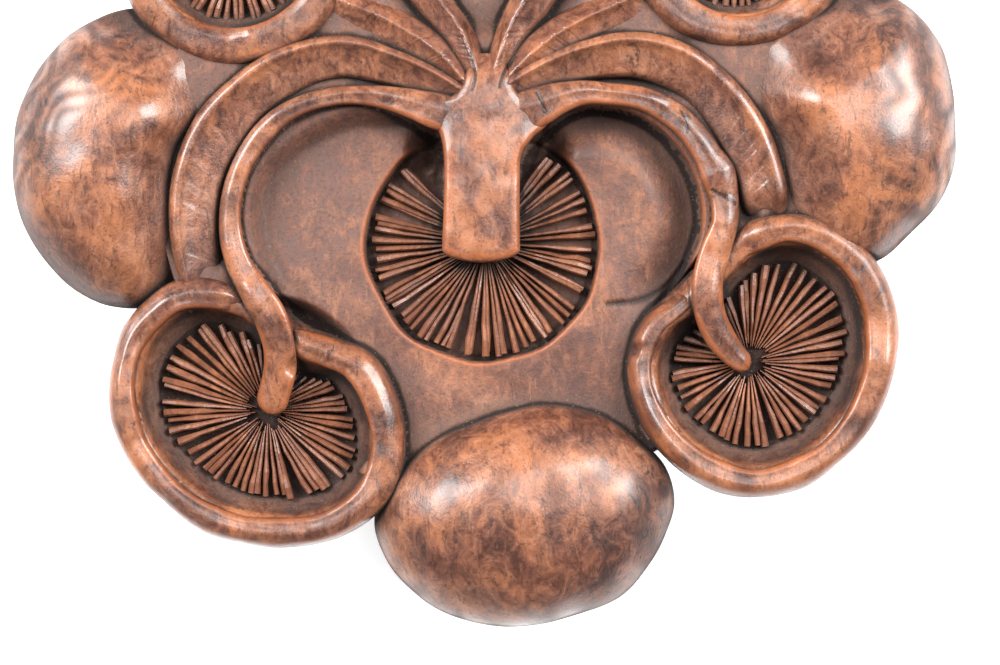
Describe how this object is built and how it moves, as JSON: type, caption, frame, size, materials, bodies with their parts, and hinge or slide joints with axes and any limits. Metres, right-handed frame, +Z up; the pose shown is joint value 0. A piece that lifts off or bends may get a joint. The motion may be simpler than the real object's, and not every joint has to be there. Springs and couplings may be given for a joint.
{
  "type": "hand bellows",
  "caption": "Hand bellows with a front board carved as a cluster of mushrooms, pleated leather sides, a clack valve and a long tapered brass nozzle.",
  "frame": {"origin": "on the surface it lies on, under the middle of the whole bellows", "axes": "+Z up, out of the carved face; +Y towards the nozzle; +X to the right of someone who holds the grip and looks along the nozzle"},
  "size_m": [0.202, 0.3824, 0.0765],
  "materials": {
    "carved_wood": "waxed burr, carved",
    "plain_wood": "waxed",
    "inner_wood": "bare",
    "gusset_leather": "worn",
    "strap_leather": "waxed",
    "brass": "aged",
    "iron": "dull"
  },
  "bodies": {
    "back": {"back_binding": "strap_leather", "back_board": "plain_wood", "back_nail_01": "brass", "back_nail_02": "brass", "back_nail_03": "brass", "back_nail_04": "brass", "back_nail_05": "brass", "back_nail_06": "brass", "back_nail_07": "brass", "back_nail_08": "brass", "back_nail_09": "brass", "back_nail_10": "brass", "back_nail_11": "brass", "back_nail_12": "brass", "back_nail_13": "brass", "back_nail_14": "brass", "block_screw_1": "iron", "block_screw_2": "iron", "cheek_leather_left": "strap_leather", "cheek_leather_right": "strap_leather", "hinge_leather": "strap_leather", "leather_gusset": "gusset_leather", "nose_block": "plain_wood", "nozzle_ferrule": "brass", "nozzle_tube": "brass", "rear_hinge_tack_1": "brass", "rear_hinge_tack_2": "brass", "rear_hinge_tack_3": "brass", "valve_hinge_strip": "strap_leather", "valve_tack_1": "brass", "valve_tack_2": "brass", "valve_tack_3": "brass"},
    "front": {"front_binding": "strap_leather", "front_board": "carved_wood", "front_hinge_tack_1": "brass", "front_hinge_tack_2": "brass", "front_hinge_tack_3": "brass", "front_nail_01": "brass", "front_nail_02": "brass", "front_nail_03": "brass", "front_nail_04": "brass", "front_nail_05": "brass", "front_nail_06": "brass", "front_nail_07": "brass", "front_nail_08": "brass", "front_nail_09": "brass", "front_nail_10": "brass", "front_nail_11": "brass", "front_nail_12": "brass", "front_nail_13": "brass", "front_nail_14": "brass"},
    "valve": {"valve_flap": "strap_leather", "valve_board": "inner_wood"},
    "hoop_lower": {"hoop_lower": "inner_wood"},
    "hoop_upper": {"hoop_upper": "inner_wood"}
  },
  "joints": [
    {"name": "board_hinge", "type": "hinge", "parent": "back", "child": "front", "pos_m": [0, 0.03095, 0.052], "axis": [-1, 0, 0], "range_deg": [0, 22], "deforming": ["leather_gusset", "hinge_leather"]},
    {"name": "lower_hoop_hinge", "type": "hinge", "parent": "back", "child": "hoop_lower", "pos_m": [0, 0.03095, 0.052], "axis": [-1, 0, 0], "range_deg": [0, 7.4]},
    {"name": "upper_hoop_hinge", "type": "hinge", "parent": "back", "child": "hoop_upper", "pos_m": [0, 0.03095, 0.052], "axis": [-1, 0, 0], "range_deg": [0, 14.7]},
    {"name": "valve_hinge", "type": "hinge", "parent": "back", "child": "valve", "pos_m": [0, -0.08605, 0.0173], "axis": [-1, 0, 0], "range_deg": [0, 24]}
  ],
  "couplings": [
    {"joint": "lower_hoop_hinge", "follows": "board_hinge", "ratio": 0.33333},
    {"joint": "upper_hoop_hinge", "follows": "board_hinge", "ratio": 0.66667}
  ]
}
